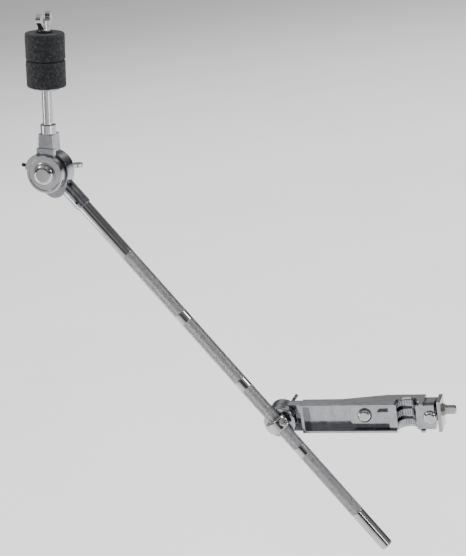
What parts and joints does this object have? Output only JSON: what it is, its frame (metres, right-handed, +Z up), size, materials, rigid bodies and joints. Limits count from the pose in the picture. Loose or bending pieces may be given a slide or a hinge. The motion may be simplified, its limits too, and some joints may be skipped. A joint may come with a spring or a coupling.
{
  "type": "cymbal boom arm with clamp",
  "caption": "Chromed cymbal boom arm: knurled tube with a tilter and felt-padded cymbal rod at one end, held in a swivel hub on a jaw clamp that grips a stand tube.",
  "frame": {"origin": "centre of the clamp seat that grips the stand tube", "axes": "+Z up along the clamped tube, +X along the clamp arm from the boom hub towards the jaw screw, +Y towards the wing nut side"},
  "size_m": [0.3711, 0.0649, 0.5381],
  "materials": {
    "cast_chrome": "chrome plating over a die casting, softly wavy",
    "polished_chrome": "bright chrome plating",
    "zinc_steel": "bright zinc on turned steel",
    "black_steel": "black oxide",
    "black_nylon": "moulded nylon",
    "friction_fibre": "pressed fibre",
    "grey_felt": "pressed charcoal wool felt"
  },
  "bodies": {
    "clamp": {"clamp_arm": "cast_chrome", "fixed_jaw": "cast_chrome", "fixed_jaw_bolt": "polished_chrome", "fixed_jaw_washer": "zinc_steel", "fixed_jaw_nut": "zinc_steel", "screw_bush": "zinc_steel", "pivot_friction_ring": "friction_fibre"},
    "jaw": {"sliding_jaw": "cast_chrome", "jaw_nut": "zinc_steel", "jaw_front_screw": "polished_chrome"},
    "jaw_screw_body": {"jaw_screw": "zinc_steel", "jaw_screw_clip": "black_steel"},
    "pivot": {"tube_saddle": "cast_chrome", "eyebolt": "polished_chrome"},
    "pivot_washer_body": {"pivot_washer": "zinc_steel"},
    "pivot_nut_body": {"pivot_wing_nut": "polished_chrome"},
    "eye_screw_body": {"eye_screw": "polished_chrome"},
    "liner": {"eye_bush": "black_nylon"},
    "boom": {"boom_tube": "polished_chrome", "tube_end_cap": "polished_chrome", "tilter_body": "cast_chrome", "collar_pin": "black_steel", "collar_set_screw": "black_steel", "friction_disc": "friction_fibre", "tilter_bolt": "polished_chrome", "tilter_cap": "polished_chrome", "cap_screw": "black_steel"},
    "tilter_washer_body": {"tilter_washer": "zinc_steel"},
    "tilter_nut_body": {"tilter_wing_nut": "polished_chrome"},
    "rod": {"rod_bracket": "cast_chrome", "cymbal_rod": "polished_chrome", "rod_collar": "polished_chrome", "felt_seat_washer": "zinc_steel", "nylon_sleeve": "black_nylon", "lower_felt": "grey_felt", "upper_felt": "grey_felt"},
    "top_washer_body": {"top_washer": "black_nylon"},
    "top_nut_body": {"top_wing_nut": "polished_chrome"}
  },
  "joints": [
    {"name": "jaw_screw_spin", "type": "hinge", "parent": "clamp", "child": "jaw_screw_body", "pos_m": [0.033, 0.0095, 0.002], "axis": [1, 0, 0], "range_deg": [-2880, 720]},
    {"name": "jaw_slide", "type": "slide", "parent": "clamp", "child": "jaw", "axis": [1, 0, 0], "range_m": [-0.008, 0.002]},
    {"name": "boom_swing", "type": "hinge", "parent": "clamp", "child": "pivot", "pos_m": [-0.121, -0.0145, 0], "axis": [0, 1, 0], "continuous": true},
    {"name": "pivot_nut_travel", "type": "slide", "parent": "pivot", "child": "pivot_washer_body", "axis": [0, 1, 0], "range_m": [0, 0.0025]},
    {"name": "pivot_nut_spin", "type": "hinge", "parent": "pivot_washer_body", "child": "pivot_nut_body", "pos_m": [-0.121, 0.0095, 0], "axis": [0, 1, 0], "range_deg": [0, 720]},
    {"name": "eye_screw_spin", "type": "hinge", "parent": "pivot", "child": "eye_screw_body", "pos_m": [-0.11443, -0.02125, 0.00464], "axis": [0.626, -0.6428, 0.4416], "range_deg": [0, 270]},
    {"name": "boom_roll", "type": "hinge", "parent": "pivot", "child": "liner", "pos_m": [-0.121, -0.0145, 0], "axis": [0.5764, 0, -0.8171], "continuous": true},
    {"name": "boom_slide", "type": "slide", "parent": "liner", "child": "boom", "axis": [0.5764, 0, -0.8171], "range_m": [-0.135, 0.12]},
    {"name": "rod_tilt", "type": "hinge", "parent": "boom", "child": "rod", "pos_m": [-0.30546, -0.0145, 0.26149], "axis": [0, 1, 0], "range_deg": [-120, 85]},
    {"name": "tilter_nut_travel", "type": "slide", "parent": "boom", "child": "tilter_washer_body", "axis": [0, 1, 0], "range_m": [0, 0.0025]},
    {"name": "tilter_nut_spin", "type": "hinge", "parent": "tilter_washer_body", "child": "tilter_nut_body", "pos_m": [-0.30546, -0.005, 0.26149], "axis": [0, 1, 0], "range_deg": [0, 720]},
    {"name": "top_nut_travel", "type": "slide", "parent": "rod", "child": "top_washer_body", "axis": [0.1599, 0, 0.9871], "range_m": [0, 0.005]},
    {"name": "top_nut_spin", "type": "hinge", "parent": "top_washer_body", "child": "top_nut_body", "pos_m": [-0.28455, -0.0195, 0.3906], "axis": [0.1599, 0, 0.9871], "range_deg": [0, 1440]}
  ],
  "couplings": [
    {"joint": "jaw_screw_spin", "follows": "jaw_slide", "rad_per_m": 6283.2},
    {"joint": "pivot_nut_spin", "follows": "pivot_nut_travel", "rad_per_m": 5026.5},
    {"joint": "tilter_nut_spin", "follows": "tilter_nut_travel", "rad_per_m": 5026.5},
    {"joint": "top_nut_spin", "follows": "top_nut_travel", "rad_per_m": 5026.5}
  ]
}
